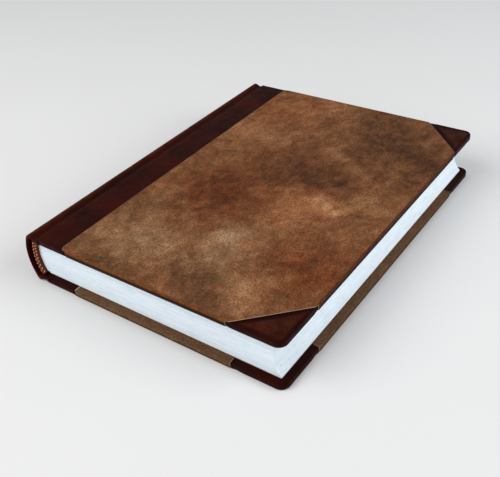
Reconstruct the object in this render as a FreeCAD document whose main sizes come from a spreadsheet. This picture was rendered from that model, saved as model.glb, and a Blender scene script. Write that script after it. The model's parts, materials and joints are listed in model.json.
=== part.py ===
import FreeCAD, Part
import math
import os
import Sketcher

# A hand-bound book, half covered in dark leather: a dark leather spine and dark corners, and
# suede-like leather over the rest of the boards. Lengths are in millimetres. X runs from the spine
# to the fore-edge, Y from the tail to the head and Z from the back cover to the front cover.
# The origin is the middle of the underside. Sketches measure X from the hinge line of the covers.

# Driving sizes
SIZES = [
    ("cover_height", 218.0, "cover, from head to tail"),
    ("cover_reach", 159.0, "hinge line to the cover's fore-edge"),
    ("spine_reach", 9.6, "hinge line to the back of the spine"),
    ("corner_radius", 5.0, "rounded corner of the cover in plan"),
    ("square", 4.4, "how far the covers stand beyond pages and pastedowns"),
    ("text_thickness", 21.8, "all the pages together"),
    ("fore_hollow", 4.5, "hollow of the fore-edge"),
    ("block_spine", 6.0, "hinge line to the back of the folded pages"),
    ("spine_bulge", 2.5, "rounding of the folded pages"),
    ("paper_thickness", 0.15, "endpaper"),
    ("board_thickness", 2.65, "cover board"),
    ("board_joint", 2.8, "hinge line to the board's spine edge"),
    ("side_leather", 0.85, "leather on the sides"),
    ("dark_leather", 0.6, "leather on spine and corners"),
    ("turn_thickness", 0.35, "pared leather turned over the board"),
    ("lap_step", 0.15, "side leather over the dark turn-in"),
    ("turn_width", 15.0, "leather turned in from the cover's edge"),
    ("outer_rounding", 1.0, "leather round the board's outer edge"),
    ("inner_rounding", 0.5, "leather round the board's inner edge"),
    ("side_edge", 20.4, "hinge line to the side leather"),
    ("side_overlap", 3.0, "side leather over dark leather"),
    ("corner_leg", 29.0, "leg of the dark corner on the cover's edge"),
    ("cut_rounding", 4.0, "rounded cut where the side leather turns over"),
    ("joint_gap", 0.3, "split of the leather at the hinge line"),
    ("joint_flat", 0.5, "half of the groove's flat bottom"),
    ("groove_depth", 1.35, "groove below the cover's face"),
    ("groove_rise", 2.4, "hinge line to the top of the groove's board side"),
    ("hump_crest", 4.1, "hinge line to the crest of the spine's edge"),
    ("hump_inset", 0.15, "crest below the cover's face"),
    ("shoulder_radius", 2.6, "rounding of the spine's edge"),
    ("inlay_thickness", 0.6, "card strip inside the spine leather"),
    ("inlay_edge", 3.6, "hinge line to the card strip's edge"),
    ("mull_thickness", 0.4, "cloth lining on the folded pages"),
    ("mull_setback", 10.0, "cloth lining short of head and tail"),
    ("flap_reach", 25.0, "hinge line to the end of the cloth flap"),
    ("cover_gap", 0.2, "closed cover to the endpaper"),
    ("band_width", 3.6, "endband across the spine"),
    ("band_height", 2.5, "endband above the pages"),
    ("band_inset", 0.3, "endband's middle in from the back of the pages"),
    ("band_overrun", 1.5, "endband beyond the outermost pages"),
    ("fit_gap", 0.3, "cloth flap to the leather turned in"),
]

# Worked-out places, in the same units
PLACES = [
    ("turn_floor", "sizes.side_leather + sizes.board_thickness"),
    ("turn_top", "sizes.side_leather + sizes.board_thickness + sizes.turn_thickness"),
    ("cover_thickness", "turn_top + sizes.paper_thickness"),
    ("block_thickness", "sizes.text_thickness + 2 * sizes.paper_thickness"),
    ("book_thickness", "2 * cover_thickness + 2 * sizes.cover_gap + block_thickness"),
    ("mid_height", "book_thickness / 2"),
    ("hinge_place", "-(sizes.cover_reach - sizes.spine_reach) / 2"),
    ("half_height", "sizes.cover_height / 2"),
    ("leather_step", "sizes.side_leather - sizes.dark_leather"),
    ("board_half", "half_height - sizes.side_leather"),
    ("board_end", "sizes.cover_reach - sizes.side_leather"),
    ("window_half", "half_height - sizes.turn_width"),
    ("window_end", "sizes.cover_reach - sizes.turn_width"),
    ("flange_reach", "sizes.side_edge + sizes.side_overlap"),
    ("page_half", "half_height - sizes.square"),
    ("page_end", "sizes.cover_reach - sizes.square"),
    ("half_text", "sizes.text_thickness / 2"),
    ("block_edge", "sizes.spine_bulge - sizes.block_spine"),
    ("bulge_radius", "(half_text ^ 2 + sizes.spine_bulge ^ 2) / (2 * sizes.spine_bulge)"),
    ("hollow_radius", "(half_text ^ 2 + sizes.fore_hollow ^ 2) / (2 * sizes.fore_hollow)"),
    ("bulge_center", "bulge_radius - sizes.block_spine"),
    ("lining_radius", "bulge_radius + sizes.mull_thickness"),
    ("band_radius", "bulge_radius - sizes.band_inset"),
    ("band_angle", "2 * asin((half_text + sizes.band_overrun)"
                   " / (bulge_radius + sizes.band_width / 2)) / 1deg"),
    ("groove_level", "mid_height - sizes.groove_depth"),
    ("crest_level", "mid_height - sizes.hump_inset"),
    ("crest_rise", "sizes.groove_depth - sizes.hump_inset"),
    ("crest_run", "sizes.hump_crest - sizes.joint_flat"),
    ("crest_radius", "(crest_run ^ 2 + crest_rise ^ 2) / (4 * crest_rise)"),
    ("spine_shift", "sizes.spine_reach - sizes.hump_crest"),
    ("spine_radius", "(spine_shift ^ 2 + crest_level ^ 2 - 2 * crest_level * sizes.shoulder_radius)"
                     " / (2 * (spine_shift - sizes.shoulder_radius))"),
    ("board_rise", "sizes.groove_depth - leather_step"),
    ("board_run", "sizes.groove_rise - sizes.joint_flat"),
    ("rise_radius", "(board_run ^ 2 + board_rise ^ 2) / (4 * board_rise)"),
    ("turn_offset", "sizes.dark_leather + sizes.inlay_thickness"),
    ("hollow_offset", "turn_offset + sizes.turn_thickness"),
    ("corner_reach", "sizes.corner_leg + sizes.side_overlap * sqrt(2)"),
    ("diagonal_trim", "sizes.cut_rounding * tan(22.5deg)"),
    ("diagonal_step", "diagonal_trim / sqrt(2)"),
]

MARGIN = "5"


def add_sheet(doc, name, rows):
    """Make a spreadsheet with one named cell in each row."""
    sheet = doc.addObject("Spreadsheet::Sheet", name)
    for row, (alias, content, words) in enumerate(rows, start=1):
        sheet.set(f"A{row}", words)
        sheet.set(f"B{row}", content)
        sheet.setAlias(f"B{row}", alias)
    doc.recompute()
    return sheet


def add_sizes(doc):
    """Make the sheet of driving sizes and the sheet of places worked out from them."""
    add_sheet(doc, "sizes", [(alias, f"{value:g}", words) for alias, value, words in SIZES])
    add_sheet(doc, "places", [(alias, f"={formula}", "worked out") for alias, formula in PLACES])


def worked_out(doc, formula):
    """Return the value of a formula, for the first guess that a sketch starts from."""
    return float(doc.getObject("sizes").evalExpression(formula))


def origin_plane(body, role):
    return next(item for item in body.Origin.OriginFeatures if item.Role == role)


def add_body(doc, label):
    body = doc.addObject("PartDesign::Body", label)
    body.Label = label
    return body


def add_sketch(body, name, role, height="0"):
    """Make a sketch on an origin plane of its own body, lifted off it by a height."""
    sketch = body.newObject("Sketcher::SketchObject", f"{body.Name}_{name}")
    sketch.AttachmentSupport = [(origin_plane(body, role), "")]
    sketch.MapMode = "FlatFace"
    sketch.setExpression("AttachmentOffset.Base.z", height)
    return sketch


def bind(sketch, constraint, formula):
    index = sketch.addConstraint(constraint)
    sketch.setExpression(f"Constraints[{index}]", formula)


def arc_between(start, end, radius, turn):
    """Return the arc of under half a turn from start to end: turn 1 runs left, turn -1 right."""
    chord = end - start
    half = chord.Length / 2
    side = FreeCAD.Vector(-chord.y, chord.x, 0).normalize() * turn
    centre = (start + end) / 2 + side * math.sqrt(max(radius ** 2 - half ** 2, 0))
    first, last = (start, end) if turn > 0 else (end, start)
    angles = [math.atan2(point.y - centre.y, point.x - centre.x) for point in (first, last)]
    return Part.ArcOfCircle(Part.Circle(centre, FreeCAD.Vector(0, 0, 1), radius), *angles)


def draw_outline(sketch, corners, arcs=None):
    """Draw a closed outline through corners given as formulas. arcs gives, for the edge that
    leaves a corner, the formula of its radius and its turn, 1 for left and -1 for right."""
    doc = sketch.Document
    arcs = arcs or {}
    count = len(corners)
    points = [FreeCAD.Vector(worked_out(doc, x), worked_out(doc, y), 0) for x, y in corners]
    edges = []
    for index in range(count):
        start, end = points[index], points[(index + 1) % count]
        radius, turn = arcs.get(index, (None, 1))
        if radius is None:
            edges.append((sketch.addGeometry(Part.LineSegment(start, end)), turn))
        else:
            arc = arc_between(start, end, worked_out(doc, radius), turn)
            edges.append((sketch.addGeometry(arc), turn))
    for index, (edge, turn) in enumerate(edges):
        following, next_turn = edges[(index + 1) % count]
        end_point = 2 if turn > 0 else 1
        start_point = 1 if next_turn > 0 else 2
        x, y = corners[(index + 1) % count]
        sketch.addConstraint(Sketcher.Constraint("Coincident", edge, end_point, following, start_point))
        place = points[(index + 1) % count]
        bind(sketch, Sketcher.Constraint("DistanceX", -1, 1, edge, end_point, place.x), x)
        bind(sketch, Sketcher.Constraint("DistanceY", -1, 1, edge, end_point, place.y), y)
        if index in arcs:
            radius = arcs[index][0]
            bind(sketch, Sketcher.Constraint("Radius", edge, worked_out(doc, radius)), radius)


def draw_rectangle(sketch, low_x, high_x, half_y):
    low_y = f"-({half_y})"
    draw_outline(sketch, [(low_x, low_y), (high_x, low_y), (high_x, half_y), (low_x, half_y)])


def pad(body, sketch, length, both_ways=False):
    feature = body.newObject("PartDesign::Pad", f"{sketch.Name}_pad")
    feature.Profile = sketch
    feature.SideType = "Symmetric" if both_ways else "One side"
    feature.setExpression("Length", length)
    sketch.Visibility = False
    body.Document.recompute()
    return feature


def pocket(body, sketch, length, reverse=False):
    """Cut a sketch into a body, and stop if the cut misses the solid."""
    before = body.Shape.Volume
    feature = body.newObject("PartDesign::Pocket", f"{sketch.Name}_pocket")
    feature.Profile = sketch
    feature.Reversed = reverse
    feature.setExpression("Length", length)
    body.Document.recompute()
    if body.Shape.Volume >= before:
        raise RuntimeError(f"{feature.Name} cuts nothing")
    return feature


def fillet(body, base, radius, chosen):
    """Round the edges of a feature that the chosen test picks."""
    names = [f"Edge{number}" for number, edge in enumerate(base.Shape.Edges, start=1) if chosen(edge)]
    feature = body.newObject("PartDesign::Fillet", f"{body.Name}_{base.Name}_fillet")
    feature.Base = (base, names)
    feature.setExpression("Radius", radius)
    body.Document.recompute()
    return feature


def box(doc, label, low_x, high_x, half_y, low_z, height):
    """Make a box that lies evenly about Y = 0."""
    solid = doc.addObject("Part::Box", label)
    solid.setExpression("Length", f"{high_x} - ({low_x})")
    solid.setExpression("Width", f"2 * ({half_y})")
    solid.setExpression("Height", height)
    solid.setExpression("Placement.Base.x", low_x)
    solid.setExpression("Placement.Base.y", f"-({half_y})")
    solid.setExpression("Placement.Base.z", low_z)
    return solid


def fuse(doc, label, *shapes):
    joined = doc.addObject("Part::MultiFuse", label)
    joined.Shapes = list(shapes)
    return joined


def cut(doc, label, base, *tools):
    result = doc.addObject("Part::Cut", label)
    result.Label = label
    result.Base = base
    result.Tool = tools[0] if len(tools) == 1 else fuse(doc, f"{label}_cutter", *tools)
    return result


def common(doc, label, *shapes):
    result = doc.addObject("Part::MultiCommon", label)
    result.Shapes = list(shapes)
    return result


def mirrored(corners):
    """Return a list of corners followed by their mirror images below the first axis."""
    return corners + [(x, f"-({y})") for x, y in reversed(corners)]


# Pages and endpapers

def seat_on_hinge_line(solid, height="places.mid_height"):
    """Place a piece of the book block, drawn about the hinge line and the middle of the pages."""
    solid.setExpression("Placement.Base.x", "places.hinge_place")
    solid.setExpression("Placement.Base.z", height)
    return solid


def text_block(doc):
    """All the pages: rounded at the folded edge and hollow at the fore-edge."""
    body = add_body(doc, "text_block")
    sketch = add_sketch(body, "section", "XZ_Plane")
    corners = [("places.block_edge", "-places.half_text"), ("places.page_end", "-places.half_text"),
               ("places.page_end", "places.half_text"), ("places.block_edge", "places.half_text")]
    draw_outline(sketch, corners, {1: ("places.hollow_radius", -1), 3: ("places.bulge_radius", 1)})
    pad(body, sketch, "2 * places.page_half", both_ways=True)
    return seat_on_hinge_line(body)


def flyleaf(doc, label, height):
    """The free half of an endpaper, on the outermost page."""
    body = add_body(doc, label)
    sketch = add_sketch(body, "plan", "XY_Plane")
    draw_rectangle(sketch, "places.block_edge", "places.page_end", "places.page_half")
    pad(body, sketch, "sizes.paper_thickness")
    return seat_on_hinge_line(body, height)


def spine_mull(doc):
    """The cloth lining glued round the folded pages."""
    body = add_body(doc, "spine_mull")
    sketch = add_sketch(body, "section", "XZ_Plane")
    drop = "places.lining_radius * places.half_text / places.bulge_radius"
    edge = "places.bulge_center - places.lining_radius * (places.bulge_center - places.block_edge)" \
           " / places.bulge_radius"
    corners = [("places.block_edge", "places.half_text"), (edge, drop),
               (edge, f"-({drop})"), ("places.block_edge", "-places.half_text")]
    draw_outline(sketch, corners, {1: ("places.lining_radius", 1), 3: ("places.bulge_radius", -1)})
    pad(body, sketch, "2 * (places.page_half - sizes.mull_setback)", both_ways=True)
    return seat_on_hinge_line(body)


def endband(doc, label, turn):
    """A thread-bound bead on the end of the folded pages, following their rounding."""
    body = add_body(doc, label)
    sketch = add_sketch(body, "section", "XY_Plane")
    outer = "-(places.band_radius + sizes.band_width / 2)"
    inner = "-(places.band_radius - sizes.band_width / 2)"
    straight = "places.page_half + sizes.band_height - sizes.band_width / 2"
    corners = [(outer, "places.page_half"), (inner, "places.page_half"), (inner, straight),
               ("-places.band_radius", "places.page_half + sizes.band_height"), (outer, straight)]
    draw_outline(sketch, corners, {2: ("sizes.band_width / 2", 1), 3: ("sizes.band_width / 2", 1)})
    bead = body.newObject("PartDesign::Revolution", f"{label}_bead")
    bead.Profile = sketch
    bead.ReferenceAxis = (sketch, ["V_Axis"])
    bead.Midplane = True
    bead.setExpression("Angle", "places.band_angle")
    body.Placement.Rotation = FreeCAD.Rotation(FreeCAD.Vector(1, 0, 0), turn)
    seat_on_hinge_line(body)
    body.setExpression("Placement.Base.x", "places.hinge_place + places.bulge_center")
    return body


# Spine

def spine_form(doc, label, offset, half_length):
    """A solid with the outline of the hollow back, smaller all round by an offset."""
    body = add_body(doc, label)
    sketch = add_sketch(body, "section", "XZ_Plane")
    level = f"places.groove_level - ({offset})"
    share = f"(places.crest_radius - ({offset})) / (2 * places.crest_radius)"
    slope_x = f"-sizes.hump_crest + {share} * places.crest_run"
    slope_z = "places.crest_level - places.crest_radius" \
              f" + {share} * (2 * places.crest_radius - places.crest_rise)"
    reach = f"(places.spine_radius - ({offset})) / (places.spine_radius - sizes.shoulder_radius)"
    side_x = f"places.spine_radius - sizes.spine_reach + {reach} * (places.spine_shift - places.spine_radius)"
    side_z = f"{reach} * (places.crest_level - sizes.shoulder_radius)"
    upper = [("-sizes.joint_gap / 2", level), ("-sizes.joint_flat", level), (slope_x, slope_z),
             ("-sizes.hump_crest", f"places.crest_level - ({offset})"), (side_x, side_z)]
    groove = (f"places.crest_radius + ({offset})", -1)
    crest = (f"places.crest_radius - ({offset})", 1)
    shoulder = (f"sizes.shoulder_radius - ({offset})", 1)
    back = (f"places.spine_radius - ({offset})", 1)
    draw_outline(sketch, mirrored(upper),
                 {1: groove, 2: crest, 3: shoulder, 4: back, 5: shoulder, 6: crest, 7: groove})
    pad(body, sketch, f"2 * ({half_length})", both_ways=True)
    return body


def spine_leather_and_inlay(doc):
    """The dark leather from groove to groove, turned in at head and tail over a card strip."""
    beyond = f"places.half_height + {MARGIN}"
    outside = spine_form(doc, "spine_outside", "0", "places.half_height")
    room = spine_form(doc, "inlay_room", "sizes.dark_leather", "places.board_half")
    inside = spine_form(doc, "inlay_inside", "places.turn_offset", beyond)
    hollow = spine_form(doc, "spine_hollow", "places.hollow_offset", beyond)
    between = spine_form(doc, "between_turn_ins", "places.turn_offset", "places.window_half")
    layer = cut(doc, "inlay_layer", room, inside)
    leather = cut(doc, "spine_leather", outside, layer, hollow, between)
    strip = box(doc, "inlay_reach", f"-sizes.spine_reach - {MARGIN}", "-sizes.inlay_edge", beyond,
                "-places.mid_height", "places.book_thickness")
    inlay = common(doc, "spine_inlay", layer, strip)
    return [seat_on_hinge_line(leather), seat_on_hinge_line(inlay)]


# Covers, drawn with the outer face down at Z = 0

def board(doc, label):
    """A cover board with rounded fore-edge corners."""
    body = add_body(doc, label)
    sketch = add_sketch(body, "plan", "XY_Plane", "sizes.side_leather")
    draw_cover_plan(sketch, "sizes.board_joint", "sizes.side_leather")
    pad(body, sketch, "sizes.board_thickness")
    return body


def draw_cover_plan(sketch, low_x, inset):
    """Draw the cover's outline in plan, smaller by an inset, from low_x to the fore-edge."""
    radius = f"sizes.corner_radius - {inset}"
    end = f"sizes.cover_reach - {inset}"
    half = f"places.half_height - {inset}"
    near = "sizes.cover_reach - sizes.corner_radius"
    upper = [(end, "places.half_height - sizes.corner_radius"), (near, half), (low_x, half)]
    draw_outline(sketch, mirrored(upper), {0: (radius, 1), 4: (radius, 1)})


def wrap(doc, label, inset, low_x, top):
    """The outside of leather that is drawn round the board, with softly rounded edges."""
    body = add_body(doc, label)
    sketch = add_sketch(body, "plan", "XY_Plane", inset)
    draw_cover_plan(sketch, low_x, inset)
    solid = pad(body, sketch, f"{top} - {inset}")
    for rounding, level in (("sizes.outer_rounding", inset), ("sizes.inner_rounding", top)):
        height = worked_out(doc, level)
        left = worked_out(doc, low_x)
        solid = fillet(body, solid, rounding, lambda edge: on_outer_rim(edge, height, left))
    return body


def on_outer_rim(edge, height, left):
    """Say whether an edge lies at a height and doesn't run along the spine side."""
    room = edge.BoundBox
    near = 0.001
    level = abs(room.ZMin - height) < near and abs(room.ZMax - height) < near
    return level and room.XMax > left + near


def side_pattern(doc):
    """The side leather's cut, with rounded corners where it turns over the board's edges."""
    body = add_body(doc, "side_pattern")
    sketch = add_sketch(body, "plan", "XY_Plane", f"-{MARGIN}")
    trim, step, leg = "places.diagonal_trim", "places.diagonal_step", "sizes.corner_leg"
    reach, half, rounding = "sizes.cover_reach", "places.half_height", "sizes.cut_rounding"
    upper = [
        (f"{reach} + {MARGIN}", f"{half} - {leg} - {trim}"),
        (reach, f"{half} - {leg} - {trim}"),
        (f"{reach} - {step}", f"{half} - {leg} + {step}"),
        (f"{reach} - {leg} + {step}", f"{half} - {step}"),
        (f"{reach} - {leg} - {trim}", half),
        (f"{reach} - {leg} - {trim}", f"{half} + {MARGIN}"),
        (f"sizes.side_edge + {rounding}", f"{half} + {MARGIN}"),
        (f"sizes.side_edge + {rounding}", half),
        ("sizes.side_edge", f"{half} - {rounding}"),
    ]
    turns = {1: (rounding, 1), 3: (rounding, 1), 7: (rounding, 1),
             9: (rounding, 1), 13: (rounding, 1), 15: (rounding, 1)}
    draw_outline(sketch, mirrored(upper), turns)
    pad(body, sketch, f"places.cover_thickness + 2 * {MARGIN}")
    return body


def corner_prism(doc, label, side):
    """The triangle that a dark corner fills, under the side leather's overlap too."""
    body = add_body(doc, label)
    sketch = add_sketch(body, "plan", "XY_Plane", f"-{MARGIN}")
    reach, half, leg = "sizes.cover_reach", "places.half_height", "places.corner_reach"
    corners = [(f"{reach} - {leg} - {MARGIN}", f"{half} + {MARGIN}"),
               (f"{reach} + {MARGIN}", f"{half} - {leg} - {MARGIN}"),
               (f"{reach} + {MARGIN}", f"{half} + {MARGIN}")]
    draw_outline(sketch, [(x, f"{side} * ({y})") for x, y in corners])
    pad(body, sketch, f"places.cover_thickness + 2 * {MARGIN}")
    return body


def flange_form(doc, label, offset, half_length, top):
    """A solid with the outline of the dark leather beside the groove, inwards by an offset."""
    body = add_body(doc, label)
    sketch = add_sketch(body, "section", "XZ_Plane")
    share = f"(places.rise_radius - ({offset})) / (2 * places.rise_radius)"
    slope_x = f"sizes.groove_rise - {share} * places.board_run"
    slope_z = "places.leather_step + places.rise_radius" \
              f" - {share} * (2 * places.rise_radius - places.board_rise)"
    corners = [
        ("sizes.joint_gap / 2", f"sizes.groove_depth + {offset}"),
        ("sizes.joint_flat", f"sizes.groove_depth + {offset}"),
        (slope_x, slope_z),
        ("sizes.groove_rise", f"places.leather_step + {offset}"),
        ("places.flange_reach", f"places.leather_step + {offset}"),
        ("places.flange_reach", top),
        ("sizes.joint_gap / 2", top),
    ]
    draw_outline(sketch, corners, {1: (f"places.rise_radius + ({offset})", -1),
                                   2: (f"places.rise_radius - ({offset})", 1)})
    pad(body, sketch, f"2 * ({half_length})", both_ways=True)
    return body


def cover_forms(doc):
    """The solids that the pieces of either cover are cut from and cut with."""
    dark_top = "places.turn_top - sizes.lap_step"
    forms = {
        "board": board(doc, "board_form"),
        "window": box(doc, "turn_in_window", f"-{MARGIN}", "places.window_end", "places.window_half",
                      "places.turn_floor", MARGIN),
        "pattern": side_pattern(doc),
        "side_wrap": wrap(doc, "side_wrap", "0", "sizes.board_joint", "places.turn_top"),
        "dark_wrap": wrap(doc, "dark_wrap", "places.leather_step", "sizes.board_joint", dark_top),
        "flange_outside": flange_form(doc, "flange_outside", "0",
                                      "places.half_height - places.leather_step", dark_top),
        "flange_inside": flange_form(doc, "flange_inside", "sizes.dark_leather", "places.board_half",
                                     "places.turn_floor"),
    }
    for end, side in (("head", "1"), ("tail", "-1")):
        prism = corner_prism(doc, f"{end}_prism", side)
        forms[f"{end}_wrap"] = common(doc, f"{end}_wrap", forms["dark_wrap"], prism)
        forms[f"{end}_corner"] = cut(doc, f"{end}_corner_form", forms[f"{end}_wrap"],
                                     forms["board"], forms["window"])
    forms["flange"] = cut(doc, "flange_form", forms["flange_outside"],
                          forms["flange_inside"], forms["window"])
    forms["side_sheet"] = common(doc, "side_sheet", forms["side_wrap"], forms["pattern"])
    return forms


def pastedown(doc, label):
    """The endpaper glued inside the cover: it drops from the turn-ins onto the board."""
    body = add_body(doc, label)
    rise = "(sizes.turn_thickness + sizes.paper_thickness)"
    outline = ("sizes.fit_gap", "places.page_end", "places.page_half")
    dish = ("sizes.flap_reach + sizes.fit_gap", "places.window_end", "places.window_half")
    sheet = add_sketch(body, "sheet", "XY_Plane", "places.turn_floor")
    draw_rectangle(sheet, *outline)
    pad(body, sheet, rise)
    under = add_sketch(body, "under", "XY_Plane", "places.turn_floor")
    draw_rectangle(under, *outline)
    draw_rectangle(under, *dish)
    pocket(body, under, "sizes.turn_thickness", reverse=True)
    over = add_sketch(body, "over", "XY_Plane", "places.cover_thickness")
    draw_rectangle(over, f"{dish[0]} + sizes.paper_thickness", f"{dish[1]} - sizes.paper_thickness",
                   f"{dish[2]} - sizes.paper_thickness")
    pocket(body, over, "sizes.turn_thickness")
    return body


def mull_flap(doc, label):
    """The cloth that ties the book block to the board, under the pastedown."""
    body = add_body(doc, label)
    sketch = add_sketch(body, "plan", "XY_Plane", "places.turn_floor")
    draw_rectangle(sketch, "sizes.fit_gap", "sizes.flap_reach", "places.window_half - sizes.fit_gap")
    pad(body, sketch, "sizes.turn_thickness")
    return body


def cover(doc, forms, side):
    """One cover's pieces. Turning the front cover over swaps its head and tail."""
    ends = {"head": "tail", "tail": "head"} if side == "front" else {"head": "head", "tail": "tail"}
    pieces = [
        board(doc, f"{side}_board"),
        cut(doc, f"{side}_spine_flange", forms["flange_outside"], forms["flange_inside"],
            forms["window"]),
        cut(doc, f"{side}_side_leather", forms["side_sheet"], forms["board"], forms["flange"],
            forms["head_corner"], forms["tail_corner"], forms["window"]),
        pastedown(doc, f"{side}_pastedown"),
        mull_flap(doc, f"{side}_mull_flap"),
    ]
    for end, drawn in ends.items():
        pieces.append(cut(doc, f"{side}_{end}_corner", forms[f"{drawn}_wrap"], forms["board"],
                          forms["window"]))
    doc.recompute()
    for piece in pieces:
        lay_cover(piece, side)
    return pieces


def lay_cover(piece, side):
    """Lay a cover's piece on the underside, or turned over on top."""
    piece.setExpression("Placement.Base.x", "places.hinge_place")
    if side == "front":
        piece.Placement.Rotation = FreeCAD.Rotation(FreeCAD.Vector(1, 0, 0), 180)
        piece.setExpression("Placement.Base.z", "places.book_thickness")


def check(doc, nodes):
    """Stop if any object failed or any piece isn't one good solid."""
    doc.recompute()
    for item in doc.Objects:
        if "Invalid" in item.State or "Error" in item.State:
            raise RuntimeError(f"{item.Name} failed: {item.State}")
    for node in nodes:
        if node.Shape.isNull() or not node.Shape.isValid() or len(node.Shape.Solids) != 1:
            raise RuntimeError(f"{node.Label} isn't one good solid")


def main():
    doc = FreeCAD.newDocument("leather_book")
    add_sizes(doc)
    nodes = [
        text_block(doc),
        flyleaf(doc, "front_flyleaf", "places.mid_height + places.half_text"),
        flyleaf(doc, "back_flyleaf", "places.mid_height - places.block_thickness / 2"),
        spine_mull(doc),
        endband(doc, "head_endband", 0),
        endband(doc, "tail_endband", 180),
    ]
    nodes += spine_leather_and_inlay(doc)
    forms = cover_forms(doc)
    for side in ("front", "back"):
        nodes += cover(doc, forms, side)
    check(doc, nodes)
    os.makedirs("parts", exist_ok=True)
    for node in nodes:
        node.Shape.exportStep(f"parts/{node.Label}.step")


main()
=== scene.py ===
import json
import math
import random

import bpy
from mathutils import Matrix, Vector, geometry, kdtree, noise


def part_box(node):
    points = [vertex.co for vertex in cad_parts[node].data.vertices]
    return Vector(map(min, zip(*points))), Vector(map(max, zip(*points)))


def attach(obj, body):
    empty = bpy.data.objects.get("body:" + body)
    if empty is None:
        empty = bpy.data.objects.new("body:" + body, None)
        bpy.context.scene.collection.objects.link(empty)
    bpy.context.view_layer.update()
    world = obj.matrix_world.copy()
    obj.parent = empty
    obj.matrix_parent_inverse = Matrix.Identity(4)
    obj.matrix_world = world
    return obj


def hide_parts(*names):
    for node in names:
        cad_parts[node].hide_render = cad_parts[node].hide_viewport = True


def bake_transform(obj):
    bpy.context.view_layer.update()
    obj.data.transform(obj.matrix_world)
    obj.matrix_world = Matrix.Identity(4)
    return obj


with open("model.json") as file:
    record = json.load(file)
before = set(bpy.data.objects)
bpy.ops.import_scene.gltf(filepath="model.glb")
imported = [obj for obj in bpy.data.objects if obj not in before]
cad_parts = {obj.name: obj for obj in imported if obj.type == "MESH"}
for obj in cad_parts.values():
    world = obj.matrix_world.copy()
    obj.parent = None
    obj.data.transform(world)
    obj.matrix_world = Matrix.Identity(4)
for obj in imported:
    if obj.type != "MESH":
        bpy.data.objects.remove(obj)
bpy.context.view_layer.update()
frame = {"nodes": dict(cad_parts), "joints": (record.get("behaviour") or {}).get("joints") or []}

# The looks of a hand-bound book: dark leather over the spine and corners, suede-like leather over
# the sides, pages with their edges showing, and thread-bound endbands. Lengths are in metres.
# A cover is drawn in plan (u from the hinge line, v along the spine) and depth, from its outer face.

MM = 0.001

# Places read from the frame
HINGE = Vector(frame["joints"][0]["pos_m"]).x
SIDE_LOW, SIDE_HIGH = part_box("back_side_leather")
DARK_LOW, DARK_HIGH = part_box("back_head_corner")
SPINE_LOW, SPINE_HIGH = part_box("spine_leather")
PAGES_LOW, PAGES_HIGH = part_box("text_block")
PASTE_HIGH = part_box("back_pastedown")[1]
FLY_LOW, FLY_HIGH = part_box("back_flyleaf")
BAND_LOW, BAND_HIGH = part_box("head_endband")
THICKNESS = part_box("front_side_leather")[1].z
MID = THICKNESS / 2
REACH = SIDE_HIGH.x - HINGE
HALF = SIDE_HIGH.y
STEP = DARK_LOW.z
SIDE_EDGE = SIDE_LOW.x - HINGE

# Sizes that the frame's boxes don't give. Each sheet is drawn inwards from its outer face, and the
# dark leather is a little thinner than its solid, on the hidden side.
CORNER_RADIUS = 5.0 * MM
OUTER_ROUND = 0.55 * MM
INNER_ROUND = 0.35 * MM
CORNER_LEG = 29.0 * MM
CUT_ROUND = 4.0 * MM
SIDE_LEATHER = 0.85 * MM
DARK_LEATHER = 0.5 * MM
OVERLAP = 3.0 * MM
TURN_IN = 4.2 * MM
CORNER_TURN_IN = 3.6 * MM
GROOVE_DEPTH = 1.35 * MM
JOINT_FLAT = 0.5 * MM
GROOVE_RISE = 2.4 * MM
HUMP_CREST = 4.1 * MM
SHOULDER = 2.6 * MM
SPINE_WRAP = 1.55 * MM
SPINE_END_OUTER = 0.80 * MM
SPINE_END_INNER = 0.75 * MM
SPINE_TURN_IN = 7.0 * MM
JOINT_START = -1.2 * MM
TURN_WIDTH = 15.0 * MM
PAPER = 0.12 * MM


# Small helpers

def smooth_step(low, high, value):
    """Go from 0 at low to 1 at high along a smooth curve."""
    share = min(max((value - low) / (high - low), 0.0), 1.0)
    return share * share * (3 - 2 * share)


def mix(first, second, share):
    return first + (second - first) * share


def bell(value, middle, width):
    """Go from 1 where value is at middle down to 0, over about twice the width."""
    return math.exp(-((value - middle) / width) ** 2)


def span(first, last, pitch):
    """Return evenly spaced values from first to last, no further apart than pitch."""
    count = max(1, math.ceil(abs(last - first) / pitch))
    return [mix(first, last, index / count) for index in range(count + 1)]


def arc_points(centre, radius, start_deg, end_deg, pitch):
    """Return points along an arc in a plane, angles in degrees."""
    length = abs(math.radians(end_deg - start_deg)) * radius
    angles = span(math.radians(start_deg), math.radians(end_deg),
                  abs(math.radians(end_deg - start_deg)) * min(1.0, pitch / max(length, pitch)))
    return [Vector((centre[0] + radius * math.cos(a), centre[1] + radius * math.sin(a))) for a in angles]


def new_object(name, vertices, faces, materials, smooth=True):
    """Make a mesh object in the scene from points, faces and materials."""
    mesh = bpy.data.meshes.new(name)
    mesh.from_pydata([tuple(v) for v in vertices], [], faces)
    mesh.validate()
    for material in materials:
        mesh.materials.append(material)
    mesh.polygons.foreach_set("use_smooth", [smooth] * len(mesh.polygons))
    obj = bpy.data.objects.new(name, mesh)
    bpy.context.scene.collection.objects.link(obj)
    add_places(obj, vertices)
    return obj


def add_float(obj, name, values):
    """Store one number for each point, for the materials to read."""
    attribute = obj.data.attributes.new(name, "FLOAT", "POINT")
    attribute.data.foreach_set("value", values)


def add_places(obj, places):
    """Store where each point lies at rest, so that materials don't slide when the piece bends."""
    attribute = obj.data.attributes.get("rest") or obj.data.attributes.new("rest", "FLOAT_VECTOR", "POINT")
    attribute.data.foreach_set("vector", [value for place in places for value in place])


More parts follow.
